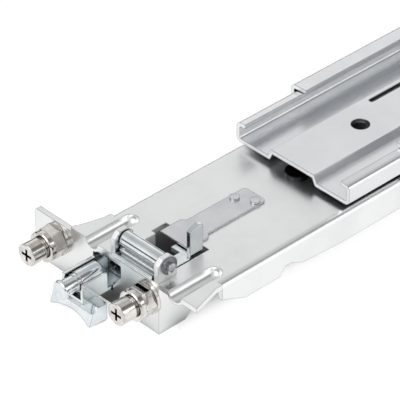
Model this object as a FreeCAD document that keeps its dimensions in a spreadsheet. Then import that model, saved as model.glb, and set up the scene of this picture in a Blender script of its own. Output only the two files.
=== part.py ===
import FreeCAD, Part
import math
import os
import re
import Sketcher

# Telescopic rail that carries one side of a rack server, as it lies with its server side up.
# x runs along the rail from the face of the rear flange to the face of the front flange,
# y runs along the rack posts, and z points from the rack wall to the server.
# The origin is midway between the two rear studs, in the mating face of the rear flange.

SIZES = {
    "rail_span": 720,
    "stud_pitch": 31.75,
    "plate_top": 5.5,
    "rail_offset": 10.5,
    "gauge": 1.5,
    "rail_gauge": 1.1,
    "gap": 0.3,
    "rail_gap": 0.2,
    "plate_gap": 0.1,
    "run_gap": 0.05,
    "seat_gap": 0.02,
    "plate_half": 19.4,
    "fold_depth": 8.1,
    "bend_radius": 1.8,
    "inner_bend": 0.4,
    "flange_near": 19.3,
    "flange_far": 24.5,
    "flange_drop": 15,
    "flange_step": 1.1,
    "flange_corner": 1,
    "side_run": 10,
    "side_corner": 1.5,
    "fold_start": 10.5,
    "flare": 2.4,
    "flare_run": 8.5,
    "lead_run": 0.6,
    "lead_depth": 4.6,
    "ramp_run": 7.4,
    "ramp_depth": 7.6,
    "notch_start": 19,
    "notch_depth": 5.3,
    "notch_side": 1.5,
    "notch_run": 7.5,
    "heel_depth": 7.2,
    "taper_end": 50,
    "rear_plate_length": 390,
    "front_plate_length": 160,
    "window_end": 17.7,
    "ear_far": 2.9,
    "ear_rise": 6.2,
    "ear_run": 5.8,
    "ear_corner": 1.6,
    "cheek_start": 7.5,
    "cheek_end": 13,
    "cheek_drop": 6,
    "pivot_reach": 3.3,
    "pivot_rise": 3.7,
    "pin_radius": 1.1,
    "pin_head_radius": 1.9,
    "pin_head": 0.8,
    "pin_tail": 1.3,
    "clip_radius": 2.3,
    "clip_gauge": 0.5,
    "clip_groove": 0.25,
    "opening_top": 3.4,
    "opening_floor": 5.4,
    "opening_near": 6.2,
    "opening_far": 3.5,
    "opening_corner": 3,
    "dart_reach": 14.4,
    "dart_length": 12.4,
    "dart_radius": 2.1,
    "dart_wall": 0.8,
    "slot_radius": 3,
    "slot_travel_out": 100,
    "slot_travel_in": 15,
    "guide_first": 130,
    "guide_pitch": 130,
    "guide_head_radius": 4.5,
    "guide_head": 1.2,
    "dome_radius": 3,
    "dome_rise": 1.3,
    "stop_rivet_x": 54.2,
    "shank_radius": 1.6,
    "stud_radius": 2.6,
    "stud_root": 1.8,
    "stud_length": 10.3,
    "head_radius": 2.95,
    "head_length": 3.9,
    "stud_seat": 0.6,
    "collar_radius": 4.05,
    "collar_length": 1.6,
    "hex_flats": 7.3,
    "hex_length": 3.2,
    "washer_radius": 4.3,
    "washer_gauge": 1,
    "front_swell": 0.5,
    "recess_depth": 2.2,
    "recess_arm": 1.7,
    "recess_width": 0.7,
    "knuckle_radius": 2.1,
    "lever_gauge": 1.2,
    "lever_face": 3.4,
    "apron_reach": 1,
    "apron_lip": 1.1,
    "apron_hollow": 1,
    "arm_half": 3,
    "arm_wall": 0.9,
    "arm_floor": 4.9,
    "arm_near_top": 0.7,
    "arm_far_top": 2,
    "arm_near_front": 9.2,
    "arm_far_front": 10.2,
    "arm_near_back": 1.3,
    "cradle_top": 0.6,
    "nose_half": 7.05,
    "nose_tip": 10.9,
    "nose_tip_drop": 8.5,
    "nose_brow": 9.7,
    "nose_brow_drop": 5.5,
    "nose_crown": 8,
    "nose_crown_drop": 4.2,
    "nose_back": 5.3,
    "nose_floor": 8.9,
    "nose_arch": 1.9,
    "nose_skin": 1,
    "tail_reach": 3,
    "tab_front": 12.2,
    "tab_back": 16.3,
    "tab_rise": 8.4,
    "tab_corner": 1.2,
    "screw_radius": 2.5,
    "screw_front": 13.8,
    "screw_back": 2,
    "screw_ring_radius": 2.3,
    "screw_ring_back": 8.5,
    "screw_ring_front": 9.5,
    "screw_neck_radius": 2.1,
    "spring_x": 9.9,
    "spring_z": 2.2,
    "coil_radius": 1.6,
    "wire_radius": 0.25,
    "coil_turns": 3,
    "coil_pitch": 0.56,
    "leaf_gauge": 0.5,
    "leaf_back": 41,
    "leaf_shift": 0.8,
    "leaf_corner": 1,
    "leaf_half": 3.7,
    "leaf_pad_front": 14,
    "leaf_pad_back": 20.5,
    "leaf_pad_half": 4.9,
    "leaf_rivet_x": 37.35,
    "leaf_rivet_step": 2.6,
    "leaf_rivet_y": 2.24,
    "leaf_rivet_head": 1.3,
    "leaf_rivet_rise": 0.5,
    "outer_start": 72.7,
    "outer_setback": 30,
    "outer_half": 20.7,
    "outer_rise": 8.3,
    "outer_lip_rise": 0.2,
    "outer_lip": 5.2,
    "middle_start": 52.5,
    "middle_setback": 35,
    "middle_rise": 5.7,
    "middle_lip_rise": 0.2,
    "middle_lip": 3.0,
    "plateau_rise": 2,
    "plateau_half": 7.4,
    "plateau_foot": 8.35,
    "middle_hole_x": 76.3,
    "middle_hole_radius": 2.4,
    "slit_start": 85.9,
    "slit_length": 86,
    "slit_shift": 5.4,
    "slit_radius": 0.7,
    "inner_start": 135,
    "inner_setback": 20,
    "inner_shoulder": 3.4,
    "inner_slope": 0.9,
    "server_gap": 0.6,
    "keyhole_first": 200,
    "keyhole_pitch": 150,
    "keyhole_radius": 4.6,
    "keyhole_neck": 2.2,
    "keyhole_neck_length": 9,
    "inner_ball_radius": 1,
    "inner_ball_first": 314,
    "inner_ball_pitch": 60,
    "cage_gauge": 0.5,
    "cage_overrun": 13,
    "inner_cage_half": 1.3,
    "buffer_length": 8,
    "buffer_half": 5,
    "buffer_rivet_head": 2.2,
    "buffer_rivet_rise": 0.8,
    "release_setback": 80,
    "release_front": 44,
    "release_back": 26,
    "release_half": 4.2,
    "release_gauge": 1,
    "release_tab": 4.5,
    "release_tab_half": 2.4,
    "release_rivet_radius": 1.5,
    "release_rivet_head": 2.6,
    "release_rivet_rise": 0.5,
    "latch_x": 38,
    "latch_y": 5,
    "latch_half": 4,
    "latch_gauge": 1.3,
    "latch_reach": 13,
    "latch_claw": 5,
    "latch_claw_run": 4,
    "latch_tail": 22,
    "latch_rivet_radius": 1.8,
    "latch_rivet_head": 3,
    "latch_side_gap": 3,
    "front_rivet_first": 70,
    "front_rivet_pitch": 70,
}

INNER_BALLS = 4

doc = FreeCAD.newDocument("ServerRail")
sheet = doc.addObject("Spreadsheet::Sheet", "Sizes")
for line_number, (alias, value) in enumerate(SIZES.items(), start=1):
    sheet.set(f"A{line_number}", alias)
    sheet.set(f"B{line_number}", str(value))
    sheet.setAlias(f"B{line_number}", alias)
doc.recompute()

NAMED_SIZE = re.compile(r"[a-z_]+")
nodes = {}


def bind(target, prop, text):
    """Ties a property to a sum of named sizes."""
    formula = NAMED_SIZE.sub(lambda m: "Sizes." + m.group(0) if m.group(0) in SIZES else m.group(0), text)
    target.setExpression(prop, formula)


def keep(solid, label):
    """Registers the finished object of one sub-part under the name of its file."""
    solid.Label = label
    nodes[label] = solid
    return solid


def fix_point(drawing, element, position, across, up):
    """Holds one point of a sketch at two named distances from the sketch's origin."""
    for kind, text in (("DistanceX", across), ("DistanceY", up)):
        index = drawing.addConstraint(Sketcher.Constraint(kind, -1, 1, element, position, 1.0))
        bind(drawing, f"Constraints[{index}]", text)


def draw_polygon(drawing, corners):
    """Closed outline of straight sides through corners given as named distances."""
    count = len(corners)
    first = drawing.GeometryCount
    ring = [
        FreeCAD.Vector(20 * math.cos(2 * math.pi * i / count), 20 * math.sin(2 * math.pi * i / count), 0)
        for i in range(count)
    ]
    for i in range(count):
        drawing.addGeometry(Part.LineSegment(ring[i], ring[(i + 1) % count]))
    for i in range(count):
        drawing.addConstraint(Sketcher.Constraint("Coincident", first + i, 2, first + (i + 1) % count, 1))
    for i, (across, up) in enumerate(corners):
        fix_point(drawing, first + i, 1, across, up)


def draw_circle(drawing, centre, radius):
    """Circle about a centre given as named distances."""
    index = drawing.addGeometry(Part.Circle(FreeCAD.Vector(1, 1, 0), FreeCAD.Vector(0, 0, 1), 2))
    fix_point(drawing, index, 3, *centre)
    ring = drawing.addConstraint(Sketcher.Constraint("Radius", index, 2.0))
    bind(drawing, f"Constraints[{ring}]", radius)


def draw_trough(drawing, across, up, radius):
    """Half disc with its flat side on top."""
    arc = Part.ArcOfCircle(
        Part.Circle(FreeCAD.Vector(0, 0, 0), FreeCAD.Vector(0, 0, 1), 2), math.pi, 2 * math.pi
    )
    first = drawing.addGeometry(arc)
    drawing.addGeometry(Part.LineSegment(FreeCAD.Vector(2, 0, 0), FreeCAD.Vector(-2, 0, 0)))
    drawing.addConstraint(Sketcher.Constraint("Coincident", first, 2, first + 1, 1))
    drawing.addConstraint(Sketcher.Constraint("Coincident", first, 1, first + 1, 2))
    drawing.addConstraint(Sketcher.Constraint("PointOnObject", first, 3, first + 1))
    drawing.addConstraint(Sketcher.Constraint("Horizontal", first + 1))
    ring = drawing.addConstraint(Sketcher.Constraint("Radius", first, 2.0))
    bind(drawing, f"Constraints[{ring}]", radius)
    fix_point(drawing, first, 3, across, up)


class Piece:
    """One rigid piece, built up as a body of pads, pockets and turned features."""

    def __init__(self, name):
        self.body = doc.addObject("PartDesign::Body", name + "_body")

    def sketch(self, role, level):
        """Empty sketch on one of the body's own planes, moved along its normal."""
        plane = next(f for f in self.body.Origin.OriginFeatures if f.Role == role)
        drawing = self.body.newObject("Sketcher::SketchObject", "Sketch")
        drawing.AttachmentSupport = (plane, "")
        drawing.MapMode = "FlatFace"
        bind(drawing, "AttachmentOffset.Base.z", level)
        return drawing

    def slab(self, kind, role, low, high, shapes):
        """Adds or removes the slab between two levels across the plane's own axis."""
        away = kind == "Pad"
        if role == "XZ_Plane":
            level = f"-({high})" if away else f"-({low})"
        else:
            level = low if away else high
        drawing = self.sketch(role, level)
        for draw, *values in shapes:
            draw(drawing, *values)
        before = 0 if self.body.Shape.isNull() else self.body.Shape.Volume
        feature = self.body.newObject("PartDesign::" + kind, kind)
        feature.Profile = drawing
        bind(feature, "Length", f"({high}) - ({low})")
        doc.recompute()
        changed = abs(self.body.Shape.Volume - before)
        if changed < 1e-3:
            raise ValueError(f"{self.body.Name}: {feature.Name} changed nothing")
        return drawing, feature

    def pad(self, role, low, high, *shapes):
        """Adds material between two levels."""
        return self.slab("Pad", role, low, high, shapes)

    def pocket(self, role, low, high, *shapes):
        """Removes material between two levels."""
        return self.slab("Pocket", role, low, high, shapes)

    def cut_slot(self, low, high, left, right, middle, radius):
        """Removes a slot with round ends that runs along the rail."""
        straight = rectangle((left, f"{middle} - {radius}"), (right, f"{middle} + {radius}"))
        self.pocket("XY_Plane", low, high, straight)
        ends = [(draw_circle, (place, middle), radius) for place in (left, right)]
        self.pocket("XY_Plane", low, high, *ends)

    def turn(self, profile, axis="H_Axis"):
        """Turns an outline of (distance along x, distance along y) about one of the two axes."""
        drawing = self.sketch("XY_Plane", "0")
        draw_polygon(drawing, profile)
        feature = self.body.newObject("PartDesign::Revolution", "Revolution")
        feature.Profile = drawing
        feature.ReferenceAxis = (drawing, [axis])
        feature.Angle = 360
        doc.recompute()
        return feature

    def ball_end(self, kind, x, y, z, radius):
        """Lower half ball that closes or hollows the end of a trough."""
        plane = next(f for f in self.body.Origin.OriginFeatures if f.Role == "XY_Plane")
        feature = self.body.newObject("PartDesign::" + kind + "Sphere", kind + "Ball")
        feature.AttachmentSupport = (plane, "")
        feature.MapMode = "FlatFace"
        for axis, text in zip("xyz", (x, y, z)):
            bind(feature, f"AttachmentOffset.Base.{axis}", text)
        bind(feature, "Radius", radius)
        feature.Angle1 = -90
        feature.Angle2 = 0
        doc.recompute()

    def round_corners(self, made, corners, radius):
        """Rounds the long edges that start at some of an outline's corners."""
        drawing, feature = made
        spots = [drawing.Placement.multVec(drawing.getPoint(i, 1)) for i in corners]
        names = []
        for number, edge in enumerate(feature.Shape.Edges, start=1):
            ends = [v.Point for v in edge.Vertexes]
            if len(ends) == 2 and any((a - spot).Length < 1e-4 for a in ends for spot in spots):
                along = (ends[1] - ends[0]).normalize()
                normal = drawing.Placement.Rotation.multVec(FreeCAD.Vector(0, 0, 1))
                if abs(abs(along.dot(normal)) - 1) < 1e-6:
                    names.append(f"Edge{number}")
        rounding = self.body.newObject("PartDesign::Fillet", "Fillet")
        rounding.Base = (feature, names)
        bind(rounding, "Radius", radius)
        doc.recompute()
        return drawing, rounding


def rectangle(low, high):
    """Outline of a rectangle between two corners."""
    return (draw_polygon, [(low[0], low[1]), (high[0], low[1]), (high[0], high[1]), (low[0], high[1])])


def mirrored(source, axis, level):
    """Mirror image of an object about the plane across one axis."""
    image = doc.addObject("Part::Mirroring", source.Name + "_mirror")
    image.Source = source
    image.Normal = FreeCAD.Vector(*(float(name == axis) for name in "xyz"))
    bind(image, f"Base.{axis}", level)
    return image


def group(name, members):
    """Several separate solids that share one file."""
    together = doc.addObject("Part::Compound", name + "_group")
    together.Links = members
    return together


def put(body, **places):
    """Moves a body by named distances."""
    for axis, text in places.items():
        bind(body, f"Placement.Base.{axis}", text)


# Bracket plates: a channel section whose web carries the rails and whose walls fold to the rack side.

PLATE_BOTTOM = "plate_top - gauge"
NEAR_EDGE = "-rail_offset - plate_half"
LEAF_RIVETS = [
    ("leaf_rivet_x - leaf_rivet_step / 2", "leaf_shift - rail_offset + leaf_rivet_y"),
    ("leaf_rivet_x + leaf_rivet_step / 2", "leaf_shift - rail_offset - leaf_rivet_y"),
]
FAR_EDGE = "-rail_offset + plate_half"


def add_channel(piece, start, end):
    """Web and folded side walls of a bracket, with rounded folds."""
    bottom = "plate_top - fold_depth"
    outline = [
        (NEAR_EDGE, bottom),
        (NEAR_EDGE, "plate_top"),
        (FAR_EDGE, "plate_top"),
        (FAR_EDGE, bottom),
        (FAR_EDGE + " - gauge", bottom),
        (FAR_EDGE + " - gauge", PLATE_BOTTOM),
        (NEAR_EDGE + " + gauge", PLATE_BOTTOM),
        (NEAR_EDGE + " + gauge", bottom),
    ]
    made = piece.pad("YZ_Plane", start, end, (draw_polygon, outline))
    made = piece.round_corners(made, (5, 6), "inner_bend")
    piece.round_corners(made, (1, 2), "inner_bend + gauge")


def add_end_web(piece, outer, inner, reach):
    """Flared end of the web, between the flange and the folded walls."""
    outline = [
        (outer, NEAR_EDGE + " - flare"),
        (reach, NEAR_EDGE),
        (inner, NEAR_EDGE),
        (inner, FAR_EDGE),
        (reach, FAR_EDGE),
        (outer, FAR_EDGE + " + flare"),
    ]
    piece.pad("XY_Plane", PLATE_BOTTOM, "plate_top", (draw_polygon, outline))


def add_flange(piece, low, high):
    """End flange that lies on the rack post, with the holes for its two studs."""
    floor = "plate_top - flange_drop"
    step = "plate_top - flange_step"
    outline = [
        ("-flange_near", floor),
        ("flange_far", floor),
        ("flange_far", step + " - flange_corner"),
        ("flange_far - flange_corner / 2", step),
        (FAR_EDGE + " + flare", step),
        (FAR_EDGE + " + flare", "plate_top"),
        ("-flange_near", "plate_top"),
    ]
    piece.pad("YZ_Plane", low, high, (draw_polygon, outline))
    holes = [(draw_circle, (side + "stud_pitch / 2", "0"), "stud_root + seat_gap") for side in ("", "-")]
    piece.pocket("YZ_Plane", low, high, *holes)


def add_darts(piece, start, end, tip):
    """Two stiffening troughs pressed down across the bend of the flange."""
    for side in ("-", "+"):
        middle = f"-rail_offset {side} dart_reach"
        wall = "dart_radius + dart_wall"
        piece.pad("YZ_Plane", start, end, (draw_trough, middle, "plate_top", wall))
        piece.ball_end("Additive", tip, middle, "plate_top", wall)
    for side in ("-", "+"):
        middle = f"-rail_offset {side} dart_reach"
        piece.pocket("YZ_Plane", start, end, (draw_trough, middle, "plate_top", "dart_radius"))
        piece.ball_end("Subtractive", tip, middle, "plate_top", "dart_radius")


def rear_bracket():
    """Rear bracket with the seat of the latch and the slots that set the rack depth."""
    piece = Piece("rear_bracket")
    add_channel(piece, "fold_start", "rear_plate_length")
    add_end_web(piece, "0", "fold_start", "flare_run")
    ramp = "plate_top - ramp_depth"
    notch = "plate_top - notch_depth"
    deep = "plate_top - fold_depth"
    scallops = [
        ("fold_start - gap", deep + " - gap"),
        ("fold_start - gap", "plate_top - lead_depth"),
        ("fold_start + lead_run", "plate_top - lead_depth"),
        ("fold_start + ramp_run", ramp),
        ("fold_start + notch_start", ramp),
        ("fold_start + notch_start + notch_side", notch),
        ("fold_start + notch_start + notch_run / 2", notch),
        ("fold_start + notch_start + notch_run", "plate_top - heel_depth"),
        ("taper_end", deep),
        ("taper_end", deep + " - gap"),
    ]
    piece.pocket("XZ_Plane", NEAR_EDGE, FAR_EDGE, (draw_polygon, scallops))
    add_flange(piece, "0", "gauge")
    window = rectangle(("gauge", "gauge - flange_near"), ("window_end", "-ear_far"))
    piece.pocket("XY_Plane", PLATE_BOTTOM, "plate_top", window)
    opening = [
        ("opening_far", "opening_top"),
        ("-opening_near", "opening_top"),
        ("-opening_near", "0"),
        ("-opening_corner - gap", "-opening_corner"),
        ("-opening_corner - gap", "-opening_floor"),
        ("opening_far", "-opening_floor"),
    ]
    piece.pocket("YZ_Plane", "0", "gauge", (draw_polygon, opening))
    ear_top = "plate_top + ear_rise"
    side_floor = "plate_top - flange_drop"
    near_wall = [
        ("0", side_floor),
        ("side_run - side_corner", side_floor),
        ("side_run", side_floor + " + side_corner"),
        ("side_run", PLATE_BOTTOM),
        ("ear_run", PLATE_BOTTOM),
        ("ear_run", ear_top + " - ear_corner"),
        ("ear_run - ear_corner", ear_top),
        ("ear_corner", ear_top),
        ("0", ear_top + " - ear_corner"),
    ]
    piece.pad("XZ_Plane", "-flange_near", "gauge - flange_near", (draw_polygon, near_wall))
    far_ear = [
        ("0", PLATE_BOTTOM),
        ("ear_run", PLATE_BOTTOM),
        ("ear_run", ear_top + " - ear_corner"),
        ("ear_run - ear_corner", ear_top),
        ("ear_corner", ear_top),
        ("0", ear_top + " - ear_corner"),
    ]
    piece.pad("XZ_Plane", "-ear_far - gauge", "-ear_far", (draw_polygon, far_ear))
    cheek = rectangle(("cheek_start", "plate_top - cheek_drop"), ("cheek_end", "plate_top"))
    piece.pad("XZ_Plane", "-ear_far - gauge", "-ear_far", cheek)
    pin_hole = (draw_circle, ("pivot_reach", "plate_top + pivot_rise"), "pin_radius + seat_gap")
    piece.pocket("XZ_Plane", "-flange_near", "-ear_far", pin_hole)
    post_hole = (draw_circle, ("spring_x", "spring_z"), "coil_radius - wire_radius - run_gap + seat_gap")
    piece.pocket("XZ_Plane", "-ear_far - gauge", "-ear_far", post_hole)
    add_darts(piece, "0", "dart_length", "dart_length")
    for order in range(2):
        at = f"guide_first + {order} * guide_pitch"
        piece.cut_slot(PLATE_BOTTOM, "plate_top", at + " - slot_travel_in", at + " + slot_travel_out",
                       "-rail_offset", "slot_radius")
    rivet_holes = [(draw_circle, ("stop_rivet_x", "-rail_offset"), "shank_radius + seat_gap")]
    rivet_holes += [(draw_circle, place, "leaf_rivet_head / 2 + seat_gap") for place in LEAF_RIVETS]
    piece.pocket("XY_Plane", PLATE_BOTTOM, "plate_top", *rivet_holes)
    keep(piece.body, "rear_bracket")


def front_bracket():
    """Front bracket, riveted under the outer channel, with its flange at the far end of the span."""
    piece = Piece("front_bracket")
    fold_end = "rail_span - fold_start"
    add_channel(piece, "rail_span - front_plate_length", fold_end)
    add_end_web(piece, "rail_span", fold_end, "rail_span - flare_run")
    add_flange(piece, "rail_span - gauge", "rail_span")
    mouth = rectangle(
        ("-rail_offset + latch_y - latch_half - latch_side_gap", "plate_top - gauge - latch_gauge - 2 * gap"),
        ("-rail_offset + latch_y + latch_half + latch_side_gap", "plate_top - gauge + gap"),
    )
    piece.pocket("YZ_Plane", "rail_span - gauge", "rail_span", mouth)
    side_floor = "plate_top - flange_drop"
    near_wall = [
        ("rail_span", side_floor),
        ("rail_span - side_run + side_corner", side_floor),
        ("rail_span - side_run", side_floor + " + side_corner"),
        ("rail_span - side_run", "plate_top"),
        ("rail_span", "plate_top"),
    ]
    piece.pad("XZ_Plane", "-flange_near", "gauge - flange_near", (draw_polygon, near_wall))
    add_darts(piece, "rail_span - dart_length", "rail_span", "rail_span - dart_length")
    latch_pivot = ("rail_span - latch_x", "-rail_offset + latch_y")
    holes = [(draw_circle, latch_pivot, "latch_rivet_radius + seat_gap")]
    for order in range(2):
        place = (f"rail_span - front_rivet_first - {order} * front_rivet_pitch", "-rail_offset")
        holes.append((draw_circle, place, "shank_radius + seat_gap"))
    piece.pocket("XY_Plane", PLATE_BOTTOM, "plate_top", *holes)
    keep(piece.body, "front_bracket")


# Studs: screw, and hexagonal bush with a round collar and a ring, on the axis of a flange hole.


def screw_body():
    """Cross-recess screw whose shank ends inside the collar of its bush."""
    screw = Piece("stud")
    half = "stud_radius"
    seat = "stud_seat - washer_gauge - hex_length - collar_length"
    screw.turn([
        ("-stud_length", "0"),
        ("-stud_length", "head_radius - 0.5 * gap"),
        ("-stud_length + 0.5 * gap", "head_radius"),
        ("head_length - stud_length", "head_radius"),
        ("head_length - stud_length", half),
        (seat, half),
        (seat, "0"),
    ])
    bar = ("-recess_arm", "-recess_width / 2"), ("recess_arm", "recess_width / 2")
    upright = ("-recess_width / 2", "-recess_arm"), ("recess_width / 2", "recess_arm")
    for outline in (bar, upright):
        screw.pocket("YZ_Plane", "-stud_length - gap", "recess_depth - stud_length", rectangle(*outline))
    return screw.body


def bush_body(swell):
    """Hexagonal bush with a collar before it, a ring behind it and a root in the flange."""
    bush = Piece("bush")
    hex_front = "-washer_gauge - hex_length"
    front = hex_front + " - collar_length"
    bush.pad("YZ_Plane", hex_front, "-washer_gauge", (draw_polygon, [
        (f"hex_flats / sqrt(3) * cos({60 * i})", f"hex_flats / sqrt(3) * sin({60 * i})")
        for i in range(6)
    ]))
    bush.turn([
        (front, "0"),
        (front, f"collar_radius + {swell} - gap"),
        (front + " + gap", f"collar_radius + {swell}"),
        (hex_front, f"collar_radius + {swell}"),
        (hex_front, "0"),
    ])
    bush.pad("YZ_Plane", "-washer_gauge", "0", (draw_circle, ("0", "0"), f"washer_radius + {swell}"))
    bush.pad("YZ_Plane", "0", "gauge", (draw_circle, ("0", "0"), "stud_root"))
    bore = (draw_circle, ("0", "0"), "stud_radius + seat_gap")
    bush.pocket("YZ_Plane", front, front + " + stud_seat", bore)
    return bush.body


def fasteners():
    """Screws and bushes of both flanges, the front bushes a little wider than the rear ones."""
    for end, swell in (("rear_", "0"), ("front_", "front_swell")):
        for body, name in ((screw_body(), "studs"), (bush_body(swell), "bushes")):
            put(body, y="stud_pitch / 2")
            pair = group(end + name, [body, mirrored(body, "y", "0")])
            if end == "front_":
                pair = mirrored(pair, "x", "rail_span / 2")
            keep(pair, end + name)


# Rear latch: lever on a pin between two ears, with an arm through the flange and a hooked nose.

PIVOT_Z = "plate_top + pivot_rise"
BLOCK_NEAR = "gauge - flange_near + gap"
BLOCK_FAR = "-ear_far - gauge - gap"


def rear_hook():
    """Latch lever: knuckle, apron, face, arm, nose, tail and thumb tab in one stamped piece."""
    piece = Piece("rear_hook")
    crossing = "plate_top - dart_radius - dart_wall - gap"
    back = "lever_face + lever_gauge"
    piece.pad("YZ_Plane", "lever_face", back, (draw_polygon, [
        (BLOCK_NEAR, "-arm_floor"),
        ("arm_half", "-arm_floor"),
        ("arm_half", crossing),
        (BLOCK_FAR, crossing),
        (BLOCK_FAR, PIVOT_Z),
        (BLOCK_NEAR, PIVOT_Z),
    ]))
    piece.pad("XZ_Plane", BLOCK_NEAR, BLOCK_FAR,
              (draw_circle, ("pivot_reach", PIVOT_Z), "knuckle_radius"))
    apron_floor = "plate_top + 2 * gap"
    apron = [
        ("-apron_lip", apron_floor),
        ("lever_face", apron_floor),
        ("lever_face", PIVOT_Z),
        ("apron_reach", PIVOT_Z),
        ("apron_reach", apron_floor + " + lever_gauge / 2"),
        ("-apron_lip", apron_floor + " + lever_gauge / 2"),
    ]
    piece.pad("XZ_Plane", BLOCK_NEAR, BLOCK_FAR, (draw_polygon, apron))
    bead = ("lever_gauge / 4 - apron_lip", apron_floor + " + lever_gauge / 2")
    piece.pad("XZ_Plane", BLOCK_NEAR, BLOCK_FAR, (draw_circle, bead, "lever_gauge / 2"))
    trough = ("apron_reach - apron_hollow / 2", apron_floor + " + lever_gauge / 2 + 1.2 * apron_hollow")
    piece.pocket("XZ_Plane", BLOCK_NEAR, BLOCK_FAR, (draw_circle, trough, "apron_hollow"))
    arm_top = "arm_wall - arm_floor"
    floor = rectangle(("-arm_near_front", "-arm_half"), (back, "arm_half"))
    piece.pad("XY_Plane", "-arm_floor", arm_top, floor)
    near_side = rectangle(("-arm_near_front", "-arm_floor"), ("-arm_near_back", "arm_near_top"))
    piece.pad("XZ_Plane", "-arm_half", "arm_wall - arm_half", near_side)
    far_side = rectangle(("-arm_far_front", "-arm_floor"), (back, "arm_far_top"))
    piece.pad("XZ_Plane", "arm_half - arm_wall", "arm_half", far_side)
    cradle = rectangle(("-screw_ring_back + gap", "-arm_floor"), ("-screw_back - gap", "-cradle_top"))
    piece.pad("XZ_Plane", "arm_wall - arm_half", "arm_half - arm_wall", cradle)
    nose = [
        ("-nose_tip", "-nose_tip_drop"),
        ("-nose_brow", "-nose_brow_drop"),
        ("-nose_crown", "-nose_crown_drop"),
        ("-nose_back", "-nose_crown_drop"),
        ("-nose_back", "-nose_floor"),
    ]
    piece.pad("XZ_Plane", "-nose_half", "nose_half", (draw_polygon, nose))
    hollow = rectangle(
        ("-nose_brow + nose_skin", "-nose_floor - gap"), ("-nose_back", "-arm_floor - gap")
    )
    piece.pocket("XZ_Plane", "nose_skin - nose_half", "nose_half - nose_skin", hollow)
    arch_radius = "(nose_half * nose_half + nose_arch * nose_arch) / (2 * nose_arch)"
    arch = (draw_circle, ("0", f"nose_arch - nose_floor - {arch_radius}"), arch_radius)
    piece.pocket("YZ_Plane", "-nose_tip", "-nose_back", arch)
    tail_floor = "plate_top - gap - lever_gauge"
    tail_top = "plate_top - gap"
    tab_near = BLOCK_NEAR + " + gap"
    tail = rectangle(("lever_face", tab_near), ("tab_back", "-rail_offset - tail_reach"))
    piece.pad("XY_Plane", tail_floor, tail_top, tail)
    foot = rectangle(("tab_front", tab_near), ("tab_back", "-rail_offset"))
    piece.pad("XY_Plane", tail_floor, tail_top, foot)
    tab = [
        ("tab_front", tail_floor),
        ("tab_back", tail_floor),
        ("tab_back", "plate_top + tab_rise - tab_corner / 2"),
        ("tab_back - tab_corner", "plate_top + tab_rise"),
        ("tab_front", "plate_top + tab_rise - tab_corner"),
    ]
    piece.pad("XZ_Plane", tab_near, tab_near + " + lever_gauge", (draw_polygon, tab))
    bore = (draw_circle, ("pivot_reach", PIVOT_Z), "pin_radius + run_gap")
    piece.pocket("XZ_Plane", BLOCK_NEAR, BLOCK_FAR, bore)
    seat = (draw_circle, ("0", "0"), "screw_radius + run_gap")
    piece.pocket("YZ_Plane", "-arm_far_front", "-screw_back", seat)
    keep(piece.body, "rear_hook")


def rear_clamp_screw():
    """Screw in the arm of the lever, in line with the studs."""
    piece = Piece("rear_clamp_screw")
    piece.turn([
        ("-screw_front", "0"),
        ("-screw_front", "screw_radius - gap"),
        ("-screw_front + gap", "screw_radius"),
        ("-screw_front + 3 * gap", "screw_radius"),
        ("-screw_front + 3 * gap", "screw_neck_radius"),
        ("-screw_ring_front", "screw_neck_radius"),
        ("-screw_ring_front", "screw_ring_radius"),
        ("-screw_ring_back", "screw_ring_radius"),
        ("-screw_ring_back", "screw_radius"),
        ("-screw_back", "screw_radius"),
        ("-screw_back", "0"),
    ])
    keep(piece.body, "rear_clamp_screw")


def rear_hook_pin():
    """Pivot pin with a head behind the far ear and a groove for its clip."""
    piece = Piece("rear_hook_pin")
    round_pin = (draw_circle, ("pivot_reach", PIVOT_Z), "pin_radius")
    head = (draw_circle, ("pivot_reach", PIVOT_Z), "pin_head_radius")
    waist = (draw_circle, ("pivot_reach", PIVOT_Z), "pin_radius - clip_groove")
    piece.pad("XZ_Plane", "-flange_near", "-ear_far", round_pin)
    piece.pad("XZ_Plane", "-ear_far", "pin_head - ear_far", head)
    piece.pad("XZ_Plane", "-flange_near - clip_gauge", "-flange_near", waist)
    piece.pad("XZ_Plane", "-flange_near - pin_tail", "-flange_near - clip_gauge", round_pin)
    keep(piece.body, "rear_hook_pin")
    clip = Piece("rear_hook_clip")
    rim = (draw_circle, ("pivot_reach", PIVOT_Z), "clip_radius")
    hole = (draw_circle, ("pivot_reach", PIVOT_Z), "pin_radius - clip_groove + seat_gap")
    clip.pad("XZ_Plane", "-flange_near - clip_gauge", "-flange_near", rim)
    clip.pocket("XZ_Plane", "-flange_near - clip_gauge", "-flange_near", hole)
    mouth = rectangle(("pivot_reach - pin_radius / 2", PIVOT_Z + " - clip_radius"),
                      ("pivot_reach + pin_radius / 2", PIVOT_Z + " - gap"))
    clip.pocket("XZ_Plane", "-flange_near - clip_gauge", "-flange_near", mouth)
    keep(clip.body, "rear_hook_clip")


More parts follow.
